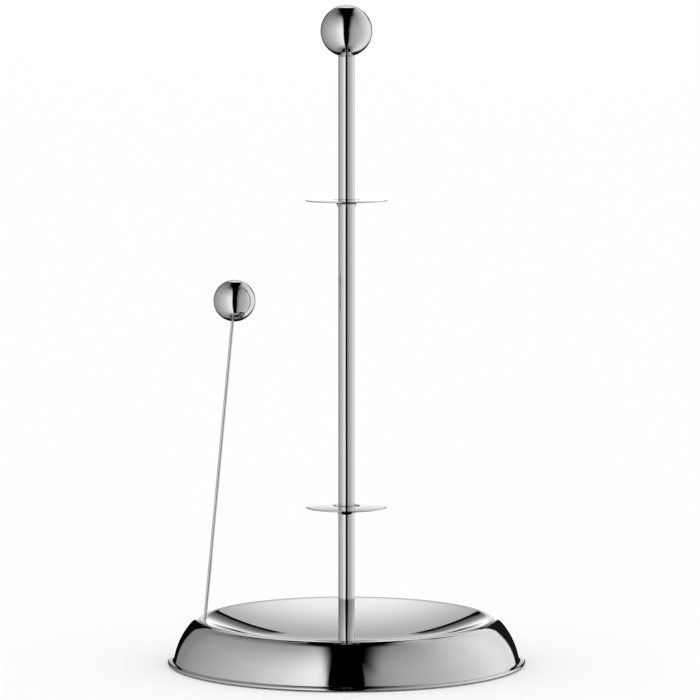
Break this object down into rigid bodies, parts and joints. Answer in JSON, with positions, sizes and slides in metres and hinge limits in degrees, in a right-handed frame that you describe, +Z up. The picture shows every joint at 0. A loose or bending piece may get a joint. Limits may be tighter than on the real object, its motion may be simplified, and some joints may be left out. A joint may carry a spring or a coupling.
{
  "type": "paper towel holder",
  "caption": "Upright kitchen roll holder: weighted round dish base, slim pole with a ball top, two guide discs and a springy wire arm with a ball end.",
  "frame": {"origin": "centre of the face it stands on, under the pole's axis", "axes": "+Z up along the pole, -X towards the spring arm, -Y towards the front"},
  "size_m": [0.1768, 0.1768, 0.3246],
  "materials": {
    "polished_steel": "mirror-polished stainless steel",
    "spring_wire": "polished stainless spring wire",
    "plain_steel": "plain turned or zinc-plated steel",
    "weight_iron": "raw, oiled",
    "black_cover": "black powder coat, fine texture",
    "black_rubber": "matt"
  },
  "bodies": {
    "holder": {"base_shell": "polished_steel", "ballast_weight": "weight_iron", "base_cover": "black_cover", "cover_screws": "plain_steel", "foot_ring": "black_rubber", "centre_washer": "plain_steel", "centre_bolt": "plain_steel", "pole_tube": "polished_steel", "pole_foot_plug": "plain_steel", "pole_top_plug": "plain_steel", "top_ball": "polished_steel", "ball_stud": "plain_steel", "lower_collar": "polished_steel", "lower_grip_ring": "black_rubber", "lower_disc": "polished_steel", "upper_collar": "polished_steel", "upper_grip_ring": "black_rubber", "upper_disc": "polished_steel", "arm_wire_root": "spring_wire"},
    "arm": {"arm_wire": "spring_wire", "arm_ball": "polished_steel"}
  },
  "joints": [
    {"name": "arm_flex", "type": "hinge", "parent": "holder", "child": "arm", "pos_m": [-0.0699, 0, 0.02207], "axis": [0, -1, 0], "range_deg": [-6, 14], "stiffness_Nm_per_rad": 1.16}
  ]
}
